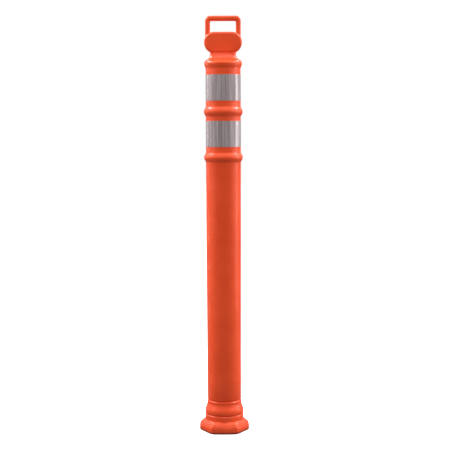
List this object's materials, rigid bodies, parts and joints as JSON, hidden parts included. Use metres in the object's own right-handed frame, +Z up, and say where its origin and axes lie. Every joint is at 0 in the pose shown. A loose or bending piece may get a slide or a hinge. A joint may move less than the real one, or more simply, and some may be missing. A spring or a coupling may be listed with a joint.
{
  "type": "delineator post",
  "caption": "Upright orange traffic delineator post with a loop handle, a pill-shaped head, rounded beads, silver retroreflective collars and a hexagonal foot flange.",
  "frame": {"origin": "centre of the foot's underside, on the ground", "axes": "+Z up along the post to the handle, +X along the handle's width, -Y out of the head's front face"},
  "size_m": [0.1376, 0.124, 1.143],
  "materials": {
    "orange_plastic": "satin blow-moulded low-density polyethylene, fluorescent orange",
    "backing_film": "matt white backing film with its adhesive",
    "prismatic_film": "glossy silver-white microprismatic retroreflective face film"
  },
  "bodies": {
    "root": {"base_flange": "orange_plastic", "post_shell": "orange_plastic", "upper_collar_backing": "backing_film", "upper_collar_face": "prismatic_film", "lower_collar_backing": "backing_film", "lower_collar_face": "prismatic_film"}
  },
  "joints": []
}
